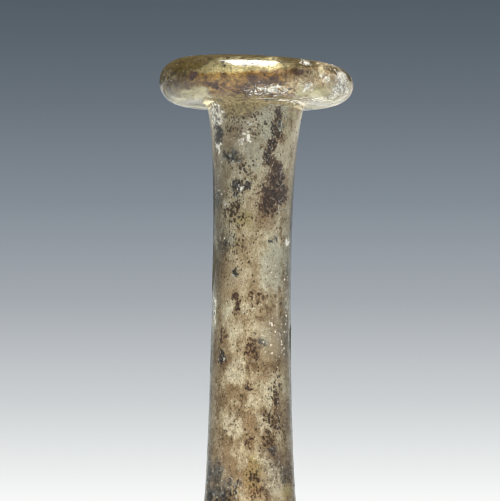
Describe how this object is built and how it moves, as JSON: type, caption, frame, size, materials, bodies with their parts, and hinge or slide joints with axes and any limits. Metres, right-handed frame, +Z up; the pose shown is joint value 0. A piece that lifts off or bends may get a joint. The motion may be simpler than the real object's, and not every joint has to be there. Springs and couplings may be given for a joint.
{
  "type": "glass unguentarium",
  "caption": "Free-blown glass perfume bottle: a thick folded disc rim on a long tubular neck over a bell-shaped body with a pushed-in underside. Hollow, open at the mouth.",
  "frame": {"origin": "centre of the resting ring on the underside", "axes": "+Z up the neck to the mouth; -Y faces the viewer of the picture, with +X to the right"},
  "size_m": [0.058, 0.058, 0.1404],
  "materials": {
    "weathered_glass": "pale greenish-yellow glass, see-through where it is clear, under a patchy tan, brown and black weathering crust"
  },
  "bodies": {
    "root": {"glass_unguentarium": "weathered_glass"}
  },
  "joints": []
}
